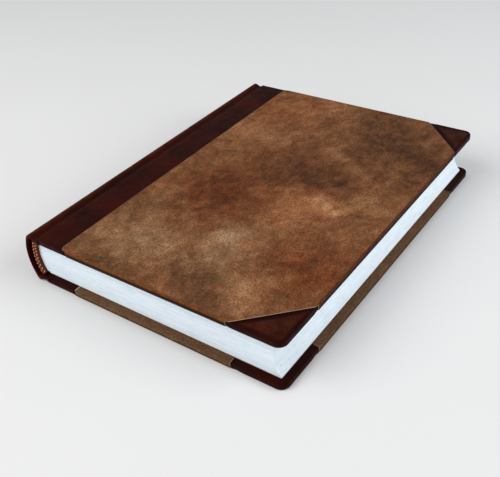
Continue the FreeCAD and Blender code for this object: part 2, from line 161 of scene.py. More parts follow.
def thicken(obj, thickness, rim_material=0, offset=-1.0):
    """Give a sheet its thickness, at -1 away from the side that its faces look to, at 0 to both."""
    modifier = obj.modifiers.new("thickness", "SOLIDIFY")
    modifier.thickness = thickness
    modifier.offset = offset
    modifier.use_even_offset = False
    modifier.material_offset_rim = rim_material


# Materials

class Nodes:
    """A short way to write a node material."""

    def __init__(self, name, stored=True):
        self.material = bpy.data.materials.new(name)
        self.material.use_nodes = True
        self.tree = self.material.node_tree
        self.shader = self.tree.nodes["Principled BSDF"]
        if stored:
            self.place = self.add("ShaderNodeAttribute", attribute_name="rest").outputs["Vector"]
        else:
            self.place = self.add("ShaderNodeTexCoord").outputs["Object"]

    def add(self, kind, **settings):
        node = self.tree.nodes.new(kind)
        for key, value in settings.items():
            setattr(node, key, value)
        return node

    def link(self, value, socket):
        """Set a socket to a number or colour, or link it to an output."""
        if isinstance(value, bpy.types.NodeSocket):
            self.tree.links.new(value, socket)
        else:
            socket.default_value = value

    def math(self, operation, *values, clamp=False):
        node = self.add("ShaderNodeMath", operation=operation, use_clamp=clamp)
        for value, socket in zip(values, node.inputs):
            self.link(value, socket)
        return node.outputs[0]

    def noise(self, size, detail=2.0, roughness=0.5, stretch=(1, 1, 1), distortion=0.0):
        """Noise whose blotches are about size metres across, from 0 to 1."""
        mapping = self.add("ShaderNodeMapping")
        self.link(self.place, mapping.inputs["Vector"])
        mapping.inputs["Scale"].default_value = stretch
        node = self.add("ShaderNodeTexNoise")
        self.link(mapping.outputs[0], node.inputs["Vector"])
        node.inputs["Scale"].default_value = 1.0 / size
        node.inputs["Detail"].default_value = detail
        node.inputs["Roughness"].default_value = roughness
        node.inputs["Distortion"].default_value = distortion
        return node.outputs["Fac"]

    def ramp(self, value, low, high, to_low=0.0, to_high=1.0, smooth=True):
        node = self.add("ShaderNodeMapRange")
        node.interpolation_type = "SMOOTHSTEP" if smooth else "LINEAR"
        self.link(value, node.inputs["Value"])
        for key, number in (("From Min", low), ("From Max", high), ("To Min", to_low), ("To Max", to_high)):
            self.link(number, node.inputs[key])
        return node.outputs[0]

    def blend(self, share, first, second, mode="MIX"):
        """Mix two colours, on the sockets that the node keeps for colours."""
        node = self.add("ShaderNodeMix", data_type="RGBA", blend_type=mode)
        self.link(share, node.inputs["Factor"])
        self.link(first, node.inputs[6])
        self.link(second, node.inputs[7])
        return node.outputs[2]

    def along(self, axis):
        """Return the place at rest along one axis, X, Y or Z."""
        node = self.add("ShaderNodeSeparateXYZ")
        self.link(self.place, node.inputs[0])
        return node.outputs[axis]

    def attribute(self, name):
        return self.add("ShaderNodeAttribute", attribute_name=name).outputs["Fac"]

    def bump(self, height, distance, strength=1.0, before=None):
        node = self.add("ShaderNodeBump")
        node.inputs["Strength"].default_value = strength
        node.inputs["Distance"].default_value = distance
        self.link(height, node.inputs["Height"])
        if before is not None:
            self.link(before, node.inputs["Normal"])
        return node.outputs[0]

    def finish(self, colour, roughness, normal=None, **sockets):
        self.link(colour, self.shader.inputs["Base Color"])
        self.link(roughness, self.shader.inputs["Roughness"])
        if normal is not None:
            self.link(normal, self.shader.inputs["Normal"])
        for key, value in sockets.items():
            self.shader.inputs[key.replace("_", " ")].default_value = value
        return self.material


def mixed(first, second, share):
    """Mix two colours that don't change over the surface."""
    return tuple(mix(a, b, share) for a, b in zip(first, second))


def colour(red, green, blue):
    """Turn a colour from 0 to 255, as a screen shows it, into the linear one that nodes take."""
    def linear(value):
        share = value / 255
        return share / 12.92 if share <= 0.04045 else ((share + 0.055) / 1.055) ** 2.4
    return (linear(red), linear(green), linear(blue), 1.0)


# Clouds on the side leather: place in plan from the hinge line and the middle and
# size, in millimetres, then how much lighter and how much warmer than the rest the leather is there
CLOUDS = [
    (40, 88, 36, 0.15, 0.5), (62, 100, 14, 0.35, 0.0), (112, 94, 30, -0.30, -0.5),
    (126, 66, 26, -0.40, -0.5), (152, 62, 20, -0.45, -0.2), (28, 46, 22, 0.45, 0.1),
    (56, 44, 18, 0.15, 0.0), (100, 52, 14, 0.15, -0.3), (82, 22, 30, -0.35, 0.2),
    (112, 14, 22, -0.40, 0.0), (150, 34, 20, -0.25, -0.1), (136, 10, 14, 0.30, -0.1),
    (128, -9, 12, 0.75, 0.1), (112, -17, 26, 0.35, 0.5), (60, -20, 34, -0.35, 0.9),
    (146, -56, 32, -0.22, 0.9), (96, -61, 20, 0.75, -0.8), (94, -83, 17, -0.10, -1.0),
    (106, -99, 17, -0.15, -0.5), (64, -80, 22, 0.40, -0.6), (40, -84, 24, 0.45, -0.6),
    (50, -104, 22, -0.25, -0.5), (22, -98, 14, -0.20, -0.5), (126, -88, 18, 0.35, 0.0),
    (124, 68, 8, -0.30, -0.9), (30, -60, 18, -0.10, -0.5),
]
CLOUD_SPREAD = 1.35
DRIFT_SIZE = 22 * MM
DRIFT_REACH = 46 * MM

# The suede's colours from its darkest to its lightest places
SUEDE_TONES = [(0.0, (48, 27, 16)), (0.25, (79, 47, 28)), (0.5, (110, 70, 43)), (0.75, (141, 98, 66)),
               (1.0, (174, 137, 102))]


def drifted_place(n):
    """Return the place at rest, moved about by slow noise, so that clouds get uneven edges."""
    drift = n.add("ShaderNodeTexNoise")
    n.link(n.place, drift.inputs["Vector"])
    drift.inputs["Scale"].default_value = 1.0 / DRIFT_SIZE
    drift.inputs["Detail"].default_value = 4.0
    centred = n.add("ShaderNodeVectorMath", operation="SUBTRACT")
    n.link(drift.outputs["Color"], centred.inputs[0])
    centred.inputs[1].default_value = (0.5, 0.5, 0.5)
    moved = n.add("ShaderNodeVectorMath", operation="MULTIPLY_ADD")
    n.link(centred.outputs[0], moved.inputs[0])
    moved.inputs[1].default_value = (DRIFT_REACH, DRIFT_REACH, 0.0)
    n.link(n.place, moved.inputs[2])
    return moved.outputs[0]


def cloud_sums(n, flip):
    """Return how light and how warm the clouds make each place."""
    place = drifted_place(n)
    light, warmth = 0.0, 0.0
    for u, v, size, lift, warm in CLOUDS:
        distance = n.add("ShaderNodeVectorMath", operation="DISTANCE")
        n.link(place, distance.inputs[0])
        distance.inputs[1].default_value = (HINGE + u * MM, flip * v * MM, 0.0)
        share = n.ramp(distance.outputs["Value"], size * MM * CLOUD_SPREAD, 0.0)
        light = n.math("MULTIPLY_ADD", share, lift, light)
        if warm:
            warmth = n.math("MULTIPLY_ADD", share, warm, warmth)
    return light, warmth


def tone_ramp(n, light):
    """Return the suede's colour for how light it is."""
    node = n.add("ShaderNodeValToRGB")
    for position, _ in SUEDE_TONES[1:-1]:
        node.color_ramp.elements.new(position)
    for element, (position, shown) in zip(node.color_ramp.elements, SUEDE_TONES):
        element.position = position
        element.color = colour(*shown)
    n.link(light, node.inputs[0])
    return node.outputs[0]


def clouded_tone(n, flip):
    """Return the suede's colour without its nap: clouds, two sizes of mottling, then warmth."""
    light, warmth = cloud_sums(n, flip)
    blotch = n.noise(14 * MM, 5.0, 0.62, distortion=0.8)
    small = n.noise(4.6 * MM, 5.0, 0.72, stretch=(1.0, 0.7, 1.0))
    light = n.math("MULTIPLY_ADD", light, 0.50, 0.50)
    light = n.math("ADD", light, n.ramp(blotch, 0.25, 0.75, -0.19, 0.19, smooth=False))
    light = n.math("ADD", light, n.ramp(small, 0.25, 0.75, -0.19, 0.19, smooth=False), clamp=True)
    hue = n.math("ADD", warmth, n.ramp(n.noise(9 * MM, 4.0, 0.6), 0.3, 0.7, -0.35, 0.35, smooth=False))
    warmed = n.blend(n.ramp(hue, 0.0, 0.9, 0.0, 0.85, smooth=False), tone_ramp(n, light),
                     colour(255, 214, 186), "MULTIPLY")
    return n.blend(n.ramp(hue, 0.0, -0.9, 0.0, 0.85, smooth=False), warmed,
                   colour(232, 246, 255), "MULTIPLY")


def burnished_and_shaded_edge_tone(n, bend, wall, fold, uneven, grain):
    """Return the suede's colour where it turns over the board's edge: burnished, and darker along the
    fore-edge as painted shade.
    """
    # Painted shade: the edge darkens towards the fore-edge.
    fore = n.math("MULTIPLY", n.ramp(n.along("X"), HINGE + REACH - 2 * MM, HINGE + REACH), 0.7)
    turned = n.blend(fore, bend, colour(54, 18, 13))
    upright = n.blend(fore, wall, mixed(wall, colour(34, 12, 9), 0.6))
    walled = n.blend(n.ramp(fold, 1.2, 2.2), turned, upright)
    rubbed = n.blend(1.0, walled, n.ramp(uneven, 0.3, 0.7, 1.25, 0.75), "MULTIPLY")
    return n.blend(1.0, rubbed, grain, "MULTIPLY")


def fringe_strength(n, nap):
    """Return how pale the suede's cut edge is: most along the mitres, less along the spine."""
    fringe = n.ramp(n.math("ADD", n.attribute("cut"), n.ramp(nap, 0.3, 0.7, -0.06, 0.06)), 0.24, 0.12)
    diagonal = n.math("ADD", n.along("X"), n.math("ABSOLUTE", n.along("Y")))
    mitre = HINGE + REACH + HALF - CORNER_LEG
    pale = n.ramp(diagonal, mitre - 4 * MM, mitre - 1 * MM, 0.3, 0.85)
    return n.math("MULTIPLY", fringe, pale)


def suede(name, flip, bend, wall):
    """Suede-like leather: soft light and dark clouds, a fine nap and burnished edges. bend and wall
    are the colours where it turns over the board's outer edge and on the edge itself; the one that
    looks down, the front's wall and the back's bend, is darkened as painted shade."""
    n = Nodes(name)
    clouded = clouded_tone(n, flip)
    nap = n.noise(1.1 * MM, 3.0, 0.75)
    speck = n.noise(2.4 * MM, 3.0, 0.7, stretch=(1.0, 0.6, 1.0))
    grain = n.math("ADD", n.ramp(nap, 0.34, 0.66, 0.50, 1.50, smooth=False),
                   n.ramp(speck, 0.3, 0.7, -0.12, 0.12, smooth=False))
    uneven = n.noise(6 * MM, 3.0, 0.65)
    fold = n.attribute("fold")
    inward = n.ramp(fold, 3.2, 4.2)
    # Painted shade: the turn-in inside the cover, beside the pages, is greyed darker.
    turn_in_shaded = n.blend(n.math("MULTIPLY", inward, 0.7), clouded, colour(88, 66, 50))
    napped = n.blend(1.0, turn_in_shaded, grain, "MULTIPLY")
    burnished_and_shaded = burnished_and_shaded_edge_tone(n, bend, wall, fold, uneven, grain)
    on_edge = n.ramp(n.math("SUBTRACT", fold, n.ramp(uneven, 0.3, 0.7, -0.3, 0.2)), -0.2, 0.2)
    on_edge = n.math("MULTIPLY", on_edge, n.math("SUBTRACT", 1.0, inward))
    edged = n.blend(on_edge, napped, burnished_and_shaded)
    final = n.blend(fringe_strength(n, nap), edged,
                    n.blend(nap, colour(140, 108, 90), colour(206, 178, 158)))
    rough = n.ramp(on_edge, 0.0, 1.0, 0.95, 0.7)
    fuzz = n.math("MULTIPLY_ADD", speck, 0.8, nap)
    height = n.math("MULTIPLY", fuzz, n.ramp(on_edge, 0.0, 1.0, 1.0, 0.3))
    return n.finish(final, rough, n.bump(height, 0.14 * MM, 0.8), Sheen_Weight=0.04, Sheen_Roughness=0.5,
                    Sheen_Tint=colour(190, 160, 130), Specular_IOR_Level=0.1)


def dark_leather(name):
    """Smooth dark red-brown leather with a fine grain and a soft sheen, lighter where worn and where a
    highlight is painted, and darker along creases and where shade is painted.
    """
    n = Nodes(name)
    cloud = n.ramp(n.noise(30 * MM, 4.0, 0.6, distortion=0.5), 0.35, 0.65)
    base = n.blend(cloud, colour(30, 7, 5), colour(50, 10, 5))
    mottle = n.ramp(n.noise(2.6 * MM, 4.0, 0.6), 0.3, 0.7, 0.82, 1.18, smooth=False)
    toned = n.blend(1.0, base, mottle, "MULTIPLY")
    patchiness = n.ramp(n.noise(9 * MM, 4.0, 0.65), 0.35, 0.6, 0.25, 1.0)
    # Lighter where worn and where a highlight is painted.
    worn_and_highlit = n.blend(n.math("MULTIPLY", n.attribute("wear_and_highlight"), patchiness), toned, colour(92, 50, 32))
    # Darker along the tooled creases, and as painted shade in grooves, beside the cut and on the edges.
    creased_and_shaded = n.blend(n.math("MULTIPLY", n.attribute("crease_and_shade"), 0.8), worn_and_highlit, colour(16, 6, 6))
    grain = n.add("ShaderNodeTexVoronoi", feature="DISTANCE_TO_EDGE")
    n.link(n.place, grain.inputs["Vector"])
    grain.inputs["Scale"].default_value = 1.0 / (0.55 * MM)
    pebble = n.ramp(grain.outputs["Distance"], 0.0, 0.22)
    soft = n.bump(n.noise(4 * MM, 3.0, 0.55), 0.14 * MM, 0.4)
    normal = n.bump(pebble, 0.035 * MM, 0.35, before=soft)
    rough = n.ramp(n.noise(7 * MM, 3.0, 0.6), 0.3, 0.7, 0.42, 0.56)
    return n.finish(creased_and_shaded, rough, normal, Specular_IOR_Level=0.05, Specular_Tint=colour(255, 170, 140))


def cut_edge(name):
    """The pale raw edge of cut leather."""
    n = Nodes(name)
    fibre = n.noise(0.5 * MM, 3.0, 0.7)
    tone = n.blend(n.ramp(fibre, 0.3, 0.7), colour(92, 66, 50), colour(146, 118, 96))
    # Painted shade: darker where the cut faces the spine.
    spine_side_shade = n.ramp(n.along("X"), SIDE_LOW.x + 3 * MM, SIDE_LOW.x + 1 * MM)
    tone = n.blend(n.math("MULTIPLY", spine_side_shade, 0.8), tone, colour(52, 32, 22))
    return n.finish(tone, 0.9, n.bump(fibre, 0.08 * MM, 0.6))


def page_edges(name):
    """The cut edges of many leaves: cool white with fine, uneven lines."""
    n = Nodes(name)
    leaf = n.noise(0.35 * MM, 2.0, 0.6, stretch=(0.012, 0.012, 1.0))
    gather = n.noise(1.9 * MM, 2.0, 0.5, stretch=(0.01, 0.01, 1.0))
    fleck = n.noise(2.0 * MM, 3.0, 0.6, stretch=(0.25, 0.25, 1.0))
    shade = n.math("ADD", n.ramp(leaf, 0.3, 0.7, 0.0, 0.5, smooth=False),
                   n.ramp(gather, 0.3, 0.7, 0.0, 0.3, smooth=False))
    shade = n.math("ADD", shade, n.ramp(fleck, 0.4, 0.75, -0.08, 0.22), clamp=True)
    tone = n.blend(shade, colour(238, 247, 253), colour(208, 220, 230))
    from_tail = n.math("ADD", n.along("Y"), PAGES_HIGH.y)
    # Grey specks of soiling near the tail corner of the fore-edge, over painted shade that darkens towards
    # that corner.
    soiled_and_shaded = n.math("MULTIPLY", n.ramp(from_tail, 34 * MM, 6 * MM), n.ramp(from_tail, 0.2 * MM, 0.9 * MM))
    soiled_and_shaded = n.math("MULTIPLY", soiled_and_shaded, n.ramp(n.along("X"), PAGES_HIGH.x - 6 * MM, PAGES_HIGH.x - 5 * MM))
    specks = n.ramp(n.noise(1.6 * MM, 2.0, 0.6, stretch=(1.0, 0.5, 1.0)), 0.60, 0.70, 0.25, 1.0)
    tone = n.blend(n.math("MULTIPLY", soiled_and_shaded, n.math("MULTIPLY", specks, 0.6)), tone, colour(160, 172, 186))
    normal = n.bump(n.math("ADD", leaf, n.math("MULTIPLY", fleck, 0.4)), 0.08 * MM, 0.5)
    return n.finish(tone, 0.8, normal, Specular_IOR_Level=0.25)


def paper(name):
    """Smooth white endpaper with a faint cloudiness."""
    n = Nodes(name)
    cloud = n.noise(12 * MM, 4.0, 0.6)
    fibre = n.noise(0.6 * MM, 3.0, 0.7)
    tone = n.blend(n.ramp(cloud, 0.3, 0.7), colour(237, 239, 239), colour(232, 234, 232))
    return n.finish(tone, 0.75, n.bump(fibre, 0.03 * MM, 0.4), Specular_IOR_Level=0.3)


def card(name, light, dark):
    """Pressed board or card with fibres in it."""
    n = Nodes(name, stored=False)
    fibre = n.noise(1.2 * MM, 4.0, 0.7, stretch=(1.0, 0.3, 1.0))
    tone = n.blend(n.ramp(fibre, 0.3, 0.7), dark, light)
    return n.finish(tone, 0.9, n.bump(fibre, 0.05 * MM, 0.5))


def cloth(name):
    """Open-weave lining cloth."""
    n = Nodes(name, stored=False)
    threads = []
    for direction in ("X", "Y"):
        wave = n.add("ShaderNodeTexWave", bands_direction=direction)
        n.link(n.place, wave.inputs["Vector"])
        wave.inputs["Scale"].default_value = 1.0 / (3.0 * MM)
        wave.inputs["Distortion"].default_value = 0.4
        threads.append(wave.outputs["Fac"])
    weave = n.math("MAXIMUM", *threads)
    tone = n.blend(weave, colour(150, 140, 118), colour(218, 210, 190))
    return n.finish(tone, 0.95, n.bump(weave, 0.15 * MM, 0.7))


def thread(name, tone):
    """Twisted thread with a slight silk sheen."""
    n = Nodes(name)
    twist = n.noise(0.25 * MM, 2.0, 0.6, stretch=(1.0, 1.0, 2.0))
    shade = n.blend(n.ramp(twist, 0.3, 0.7, 0.0, 0.45), tone, colour(60, 30, 16))
    return n.finish(shade, 0.7, n.bump(twist, 0.05 * MM, 0.6), Specular_IOR_Level=0.2)


# Leather drawn round the board's edge

class Wrap:
    """How a flat sheet is folded round the cover's edge, from its outer face to its inner face. The
    outer bend ends at the distance first, the wall at second and the inner bend at length."""

    def __init__(self, inset, depth, total):
        self.depth = depth
        self.total = total
        self.outer = OUTER_ROUND
        self.inner = INNER_ROUND
        self.first = math.pi / 2 * self.outer
        self.second = self.first + total - self.outer - self.inner
        self.length = math.pi / 2 * (self.outer + self.inner) + total - self.outer - self.inner
        self.core_radius = CORNER_RADIUS - inset - OUTER_ROUND
        self.limit_u = REACH - inset - OUTER_ROUND - self.core_radius
        self.limit_v = HALF - inset - OUTER_ROUND - self.core_radius

    def rows(self):
        """Return the distances into the fold where it needs a row of points."""
        return ([self.first * share / 5 for share in range(6)] + [mix(self.first, self.second, 0.5)]
                + [mix(self.second, self.length, share / 3) for share in range(4)]
                + [self.length + 1.2 * MM, self.length + 2.6 * MM])

    def split(self, u, v):
        """Return the nearest point of the fold line, the way out from it and the distance into it."""
        inner = Vector((min(u, self.limit_u), min(max(v, -self.limit_v), self.limit_v)))
        out = Vector((u, v)) - inner
        if out.length <= self.core_radius:
            return Vector((u, v)), Vector((0, 0)), out.length - self.core_radius
        way = out.normalized()
        return inner + way * self.core_radius, way, out.length - self.core_radius

    def place(self, u, v, lift=0.0):
        """Return plan place, depth and distance into the fold of a point of the flat sheet."""
        base, way, into = self.split(u, v)
        if into <= 0:
            return base, self.depth - lift, into
        if into < self.first:
            angle = into / self.outer
            radius = self.outer + lift
            across = radius * math.sin(angle)
            down = self.outer - radius * math.cos(angle)
        elif into < self.second:
            across = self.outer + lift
            down = self.outer + into - self.first
        elif into < self.length:
            angle = (into - self.second) / self.inner
            radius = self.inner + lift
            across = self.outer - self.inner + radius * math.cos(angle)
            down = self.total - self.inner + radius * math.sin(angle)
        else:
            across = self.outer - self.inner - (into - self.length)
            down = self.total + lift
        return base + way * across, self.depth + down, into


def on_cover(side, plan, depth):
    """Turn a plan place and a depth from the outer face into a point of the row frame."""
    height = depth if side == "back" else THICKNESS - depth
    return Vector((HINGE + plan.x, plan.y, height))


def tidy_outline(points, pitch):
    """Return a closed outline with points no further apart than pitch and none doubled."""
    result = []
    for index, point in enumerate(points):
        following = points[(index + 1) % len(points)]
        if (following - point).length < 1e-7:
            continue
        count = max(1, math.ceil((following - point).length / pitch))
        result += [point.lerp(following, step / count) for step in range(count)]
    return result


def inside(point, outline):
    """Say whether a point lies inside a closed outline."""
    found = False
    previous = outline[-1]
    for current in outline:
        if (current.y > point.y) != (previous.y > point.y):
            share = (point.y - previous.y) / (current.y - previous.y)
            if point.x < previous.x + share * (current.x - previous.x):
                found = not found
        previous = current
    return found


def fill_outline(outline, extra):
    """Triangulate an outline through extra points that lie inside it."""
    points = list(outline) + extra
    edges = [(index, (index + 1) % len(outline)) for index in range(len(outline))]
    found = geometry.delaunay_2d_cdt(points, edges, [], 1, 1e-9)
    return found[0], found[2]


def fold_points(wrap, low, high, pitch):
    """Return rows of points along the fold, in the flat sheet's plan, between low and high."""
    points = []
    for into in [-2.0 * MM, -0.9 * MM] + wrap.rows():
        radius = wrap.core_radius + into
        for v in (-wrap.limit_v - radius, wrap.limit_v + radius):
            points += [Vector((u, v)) for u in span(low.x, wrap.limit_u, pitch)]
        u = wrap.limit_u + radius
        points += [Vector((u, v)) for v in span(-wrap.limit_v, wrap.limit_v, pitch)]
        for turn, centre_v in ((0, wrap.limit_v), (-90, -wrap.limit_v)):
            steps = arc_points((wrap.limit_u, centre_v), radius, turn, turn + 90, pitch * 0.45)
            points += steps[1:-1]
    return [p for p in points if low.x < p.x < high.x and low.y < p.y < high.y]


def leather_sheet(name, side, wrap, outline, materials, pitch, shape):
    """Make a sheet of leather from its flat outline, folded round the cover's edge.
    shape gives, for a plan point, its distance from the cut and its distance into the fold, how far
    it stands up, how much lighter it is from wear and painted highlight, and how much darker from
    creases and painted shade."""
    rim = tidy_outline(outline, 0.7 * MM)
    tree = kdtree.KDTree(len(rim))
    for index, point in enumerate(rim):
        tree.insert((point.x, point.y, 0.0), index)
    tree.balance()

    def from_cut(point):
        return tree.find((point.x, point.y, 0.0))[2]

    low = Vector((min(p.x for p in rim), min(p.y for p in rim)))
    high = Vector((max(p.x for p in rim), max(p.y for p in rim)))
    extra = fold_points(wrap, low, high, 1.6 * MM)
    extra += [Vector((u, v)) for u in span(low.x, high.x, pitch) for v in span(low.y, high.y, pitch)
              if wrap.split(u, v)[2] < -2.6 * MM]
    extra = [p for p in extra if inside(p, rim) and from_cut(p) > 0.75 * MM]
    extra += offset_rows(rim, (0.1 * MM, 0.24 * MM, 0.5 * MM))
    points, faces = fill_outline(rim, extra)
    vertices, folds, cuts, wear_and_highlight_values, crease_and_shade_values = [], [], [], [], []
    for point in points:
        cut = from_cut(point)
        lift, wear_and_highlight, crease_and_shade = shape(point, cut, wrap.split(point.x, point.y)[2])
        plan, depth, into = wrap.place(point.x, point.y, lift)
        vertices.append(on_cover(side, plan, depth))
        folds.append(into / MM)
        cuts.append(cut / MM)
        wear_and_highlight_values.append(wear_and_highlight)
        crease_and_shade_values.append(crease_and_shade)
    if side == "back":
        faces = [tuple(reversed(face)) for face in faces]
    obj = new_object(name, vertices, faces, materials)
    add_places(obj, [(HINGE + point.x, point.y, 0.0) for point in points])
    for key, values in (("fold", folds), ("cut", cuts), ("wear_and_highlight", wear_and_highlight_values), ("crease_and_shade", crease_and_shade_values)):
        add_float(obj, key, values)
    return obj


def offset_rows(rim, distances):
    """Return points a little inside an outline that runs anticlockwise."""
    rows = []
    count = len(rim)
    for distance in distances:
        for index in range(count):
            along = (rim[(index + 1) % count] - rim[index - 1]).normalized()
            point = rim[index] + Vector((-along.y, along.x)) * distance
            if inside(point, rim):
                rows.append(point)
    return rows


def wavy(point, size, seed):
    """Return smooth noise from -1 to 1 at a plan point."""
    return noise.noise(Vector((point.x / size, point.y / size, seed)))


def side_outline(wrap):
    """The side leather's flat outline: mitred for the corners, with rounded cuts at the edges."""
    edge_v = HALF - OUTER_ROUND + wrap.length + TURN_IN
    edge_u = REACH - OUTER_ROUND + wrap.length + TURN_IN
    trim = CUT_ROUND * math.tan(math.radians(22.5))
    corner_u = REACH - CORNER_LEG
    corner_v = HALF - CORNER_LEG
    upper = [Vector((edge_u, corner_v - trim))]
    upper += arc_points((REACH - CUT_ROUND, corner_v - trim), CUT_ROUND, 0, 45, 0.6 * MM)
    upper += arc_points((corner_u - trim, HALF - CUT_ROUND), CUT_ROUND, 45, 90, 0.6 * MM)
    upper += [Vector((corner_u - trim, edge_v)), Vector((SIDE_EDGE + CUT_ROUND, edge_v))]
    upper += arc_points((SIDE_EDGE + CUT_ROUND, HALF - CUT_ROUND), CUT_ROUND, 90, 180, 0.6 * MM)
    lower = [Vector((p.x, -p.y)) for p in reversed(upper)]
    return upper + lower


def side_leather(side, materials):
    """The suede-like leather of one cover."""
    wrap = Wrap(0.0, 0.0, SIDE_HIGH.z)
    seed = 3.0 if side == "front" else 8.0

    def shape(point, cut, into):
        pared = -0.2 * MM * (1 - min(cut / (0.22 * MM), 1.0)) ** 2
        wave = 0.02 * MM * (wavy(point, 9 * MM, seed) - 1)
        return pared + wave, 0.0, 0.0

    obj = leather_sheet(f"{side}_side_suede", side, wrap, side_outline(wrap), materials, 2.2 * MM, shape)
    thicken(obj, SIDE_LEATHER, rim_material=1)
    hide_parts(f"{side}_side_leather")
    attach(obj, f"{side}_cover")


def corner_outline(wrap, turn):
    """A dark corner's flat outline. turn is 1 at the head and -1 at the tail."""
    hidden = OVERLAP * math.sqrt(2)
    edge_v = HALF - STEP - OUTER_ROUND + wrap.length + CORNER_TURN_IN
    edge_u = REACH - STEP - OUTER_ROUND + wrap.length + CORNER_TURN_IN
    start_u = REACH - CORNER_LEG - hidden
    start_v = HALF - CORNER_LEG - hidden
    radius = wrap.core_radius + wrap.length + CORNER_TURN_IN
    points = [Vector((start_u, edge_v)), Vector((start_u, HALF)), Vector((REACH, start_v)),
              Vector((edge_u, start_v))]
    points += arc_points((wrap.limit_u, wrap.limit_v), radius, 0, 90, 1.0 * MM)
    if turn > 0:
        return points
    return [Vector((p.x, -p.y)) for p in reversed(points)]


def dark_corner(side, end, turn, material):
    """A dark leather corner, pressed down beside the cut and creased along its edges."""
    wrap = Wrap(STEP, STEP, DARK_HIGH.z - STEP)
    diagonal = REACH + HALF - CORNER_LEG

    def shape(point, cut, into):
        beside = (point.x + turn * point.y - diagonal) / math.sqrt(2)
        pressed = -0.2 * MM * (1 - smooth_step(1.6 * MM, 2.9 * MM, beside))
        line = bell(into, -1.1 * MM, 0.32 * MM)
        ridge = bell(into, -1.9 * MM, 0.4 * MM)
        wave = 0.03 * MM * (wavy(point, 6 * MM, 4.0 * turn) - 1)
        proud = 0.12 * MM * smooth_step(-0.8 * MM, 0.0, into)
        lift = pressed - 0.07 * MM * line + wave + proud
        # Lighter along the ridge inside the rounded edge, most near the tip, from wear and a painted
        # highlight; the middle is lighter too.
        tip = smooth_step(14 * MM, 18 * MM, beside)
        wear_and_highlight = (0.2 + 0.9 * tip) * ridge
        wear_and_highlight += 0.3 * smooth_step(2.4 * MM, 3.6 * MM, beside) * smooth_step(-1.6 * MM, -3.2 * MM, into)
        # Darker along the tooled line, and painted shade beside the cut where the suede's step falls and on
        # the edge's wall.
        crease_and_shade = 0.5 * line + 0.9 * (1 - smooth_step(1.0 * MM, 2.7 * MM, beside))
        crease_and_shade += 0.5 * smooth_step(-1.0 * MM, 0.3 * MM, into)
        return lift, wear_and_highlight, min(crease_and_shade, 1.0)

    obj = leather_sheet(f"{side}_{end}_corner_leather", side, wrap, corner_outline(wrap, turn),
                        [material], 0.6 * MM, shape)
    thicken(obj, DARK_LEATHER)
    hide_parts(f"{side}_{end}_corner")
    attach(obj, f"{side}_cover")


# Dark leather across the spine and the joints

def spine_section():
    """Return the spine leather's outline from the middle of the spine to its end under the side
    leather: points, as u and height above the middle, each with its way out."""
    crest = SPINE_HIGH.z - MID
    groove = MID - GROOVE_DEPTH
    face = MID - STEP
    shift = HINGE - SPINE_LOW.x - HUMP_CREST
    radius = (shift ** 2 + crest ** 2 - 2 * crest * SHOULDER) / (2 * (shift - SHOULDER))
    run, rise = HUMP_CREST - JOINT_FLAT, crest - groove
    crest_radius = (run ** 2 + rise ** 2) / (4 * rise)
    board_run, board_rise = GROOVE_RISE - JOINT_FLAT, face - groove
    rise_radius = (board_run ** 2 + board_rise ** 2) / (4 * board_rise)
    back_centre = Vector((radius - (HINGE - SPINE_LOW.x), 0))
    shoulder_centre = Vector((-HUMP_CREST, crest - SHOULDER))
    lean = math.degrees(math.atan2(shoulder_centre.y - back_centre.y, shoulder_centre.x - back_centre.x))
    crest_turn = math.degrees(math.asin(run / (2 * crest_radius)))
    rise_turn = math.degrees(math.asin(board_run / (2 * rise_radius)))
    path = []

    def along(centre, size, start, end, hollow=False):
        for point in arc_points(centre, size, start, end, 0.35 * MM if size < 10 * MM else 0.9 * MM):
            way = (point - Vector(centre)).normalized()
            path.append((point, -way if hollow else way))

    along(back_centre, radius, 180, lean)
    along(shoulder_centre, SHOULDER, lean, 90)
    along((-HUMP_CREST, crest - crest_radius), crest_radius, 90, 90 - crest_turn)
    along((-JOINT_FLAT, groove + crest_radius), crest_radius, 270 - crest_turn, 270, hollow=True)
    along((JOINT_FLAT, groove + rise_radius), rise_radius, 270, 270 + rise_turn, hollow=True)
    along((GROOVE_RISE, face - rise_radius), rise_radius, 90 + rise_turn, 90)
    under_suede = span(GROOVE_RISE, SIDE_EDGE + OVERLAP, 1.2 * MM)[1:]
    path += [(Vector((u, face)), Vector((0, 1))) for u in under_suede]
    result = []
    for point, way in path:
        if not result or (point - result[-1][0]).length > 0.02 * MM:
            result.append((point, way))
    return result


def board_share(u):
    """Go from 0 over the spine to 1 over the board, at u from the hinge line."""
    return smooth_step(JOINT_START, GROOVE_RISE, u)


def end_fold(u, out):
    """Return how far past the fold line the leather lies, how deep, and the radius of its outer bend,
    where it turns over the spine's or the board's end at u from the hinge line. out counts the
    stretches passed: the outer bend is 0 to 1, the wall to 2, the inner bend to 3, the turn-in to 4."""
    share = board_share(u)
    total = mix(SPINE_WRAP, DARK_HIGH.z - STEP, share)
    outer = mix(SPINE_END_OUTER, OUTER_ROUND, share)
    inner = mix(SPINE_END_INNER, INNER_ROUND, share)
    first = math.pi / 2 * outer
    second = first + total - outer - inner
    third = second + math.pi / 2 * inner
    ends = [0.0, first, second, third, third + SPINE_TURN_IN]
    whole = min(math.floor(out), 3)
    reach = mix(ends[whole], ends[whole + 1], out - whole)
    if reach <= first:
        angle = reach / outer
        return outer * math.sin(angle), outer * (1 - math.cos(angle)), outer
    if reach <= second:
        return outer, outer + reach - first, outer
    if reach <= third:
        angle = (reach - second) / inner
        return outer - inner * (1 - math.cos(angle)), total - inner + inner * math.sin(angle), outer
    return outer - inner - (reach - third), total, outer


SPINE_STEPS = 90
FOLD_STEPS = [0.0, 0.2, 0.4, 0.6, 0.8, 1.0, 1.5, 2.0, 2.25, 2.5, 2.75, 3.0, 3.3, 4.0]


